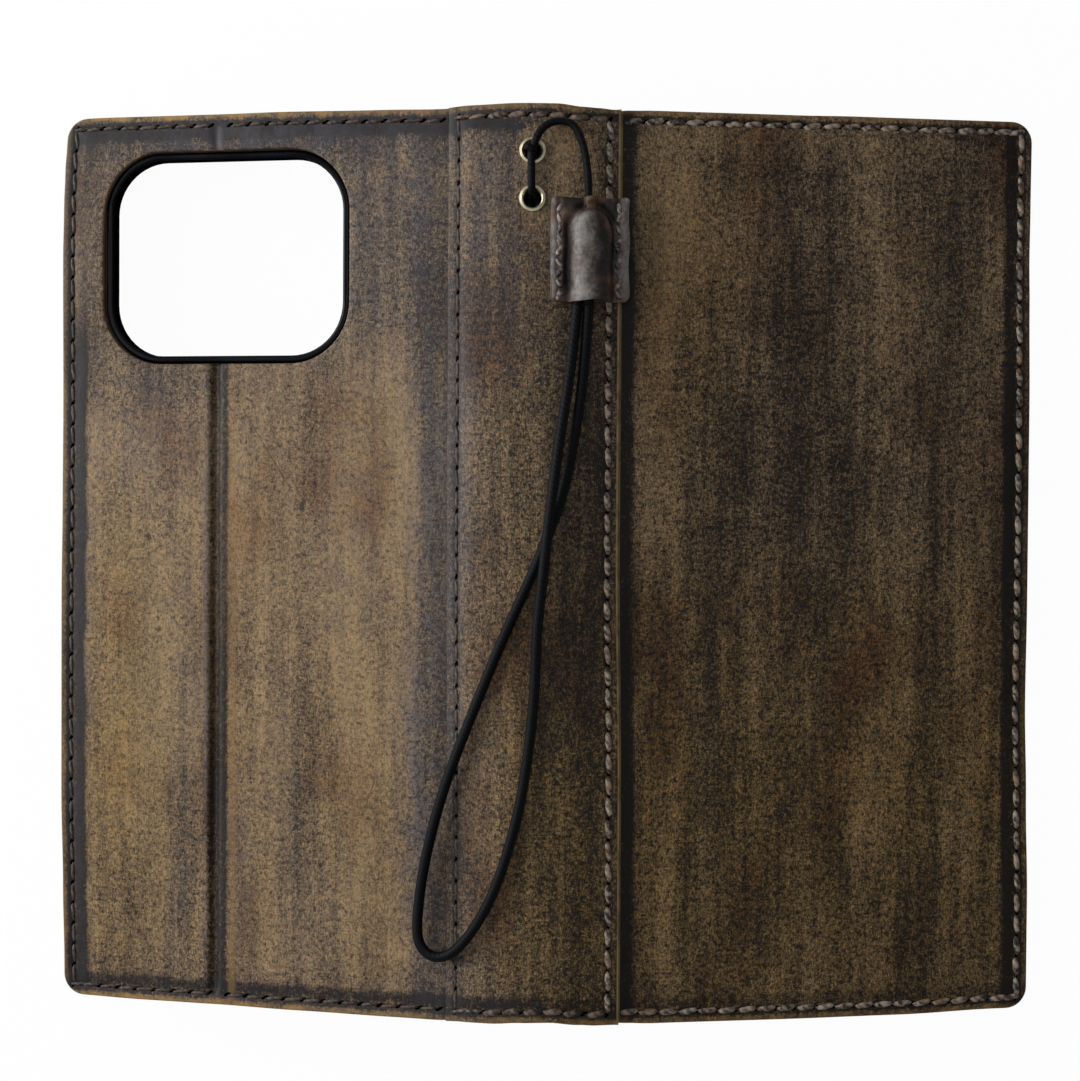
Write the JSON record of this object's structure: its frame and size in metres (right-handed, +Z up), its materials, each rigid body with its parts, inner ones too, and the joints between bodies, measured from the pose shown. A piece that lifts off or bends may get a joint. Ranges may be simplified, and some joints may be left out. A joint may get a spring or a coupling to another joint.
{
  "type": "phone case",
  "caption": "Folding leather wallet case for a large phone, with a moulded tray, a camera window, a stand crease, card pockets and a hand strap tied through eyelets.",
  "frame": {"origin": "under the middle of the case, on the surface that it stands on", "axes": "+Z up, +X from the back cover to the front cover, +Y along the spine towards the eyelets; the case stands face down as a low tent"},
  "size_m": [0.1834, 0.168, 0.0302],
  "materials": {
    "outer_leather_back": "hand-dyed, waxed, semi-matt with dark burnished edges",
    "outer_leather_spine": "hand-dyed, waxed, semi-matt with dark burnished edges",
    "outer_leather_front": "hand-dyed, waxed, semi-matt with dark streaks",
    "lining_leather": "smooth matt lining",
    "pocket_leather": "smooth semi-matt",
    "spine_core": "undyed split leather",
    "keeper_leather": "moulded, waxed",
    "moulded_black": "glossy black",
    "adhesive_film": "double-sided film",
    "brass": "pale polished brass",
    "cord_black": "woven sleeve over an elastic core"
  },
  "bodies": {
    "tray": {"phone_tray": "moulded_black", "tray_adhesive": "adhesive_film", "stand_strip_leather": "outer_leather_back", "stand_strip_lining": "lining_leather"},
    "back_cover": {"back_leather": "outer_leather_back", "back_lining": "lining_leather", "spine_leather_back": "outer_leather_spine"},
    "spine": {"spine_leather": "outer_leather_spine", "spine_core": "spine_core", "spine_lining": "lining_leather", "eyelet_upper": "brass", "eyelet_lower": "brass", "eyelet_washer_upper": "brass", "eyelet_washer_lower": "brass", "string_anchor": "cord_black", "string_hitch": "cord_black"},
    "front_cover": {"front_leather": "outer_leather_front", "front_lining": "lining_leather", "spine_leather_front": "outer_leather_spine", "note_pocket": "pocket_leather", "card_pocket_upper": "pocket_leather", "card_pocket_lower": "pocket_leather"},
    "strap": {"string_lead": "cord_black", "keeper_back": "keeper_leather", "keeper_front": "keeper_leather", "loop_ends": "cord_black"},
    "loop": {"hand_loop": "cord_black"}
  },
  "joints": [
    {"name": "stand_fold", "type": "hinge", "parent": "tray", "child": "back_cover", "pos_m": [-0.06115, 0, 0.01584], "axis": [0, 1, 0], "range_deg": [-65, 0]},
    {"name": "spine_fold", "type": "hinge", "parent": "back_cover", "child": "spine", "pos_m": [-0.00733, 0, 0.02155], "axis": [0, 1, 0], "range_deg": [0, 80]},
    {"name": "cover_fold", "type": "hinge", "parent": "spine", "child": "front_cover", "pos_m": [0.00706, 0, 0.02096], "axis": [0, 1, 0], "range_deg": [0, 80]},
    {"name": "strap_swing", "type": "hinge", "parent": "spine", "child": "strap", "pos_m": [0.00473, 0.0814, 0.02759], "axis": [0.9992, 0, -0.0411], "range_deg": [-120, 0]},
    {"name": "loop_swing", "type": "hinge", "parent": "strap", "child": "loop", "pos_m": [0.00897, 0.0473, 0.02842], "axis": [0.9992, 0, -0.0411], "range_deg": [-90, 0]}
  ]
}
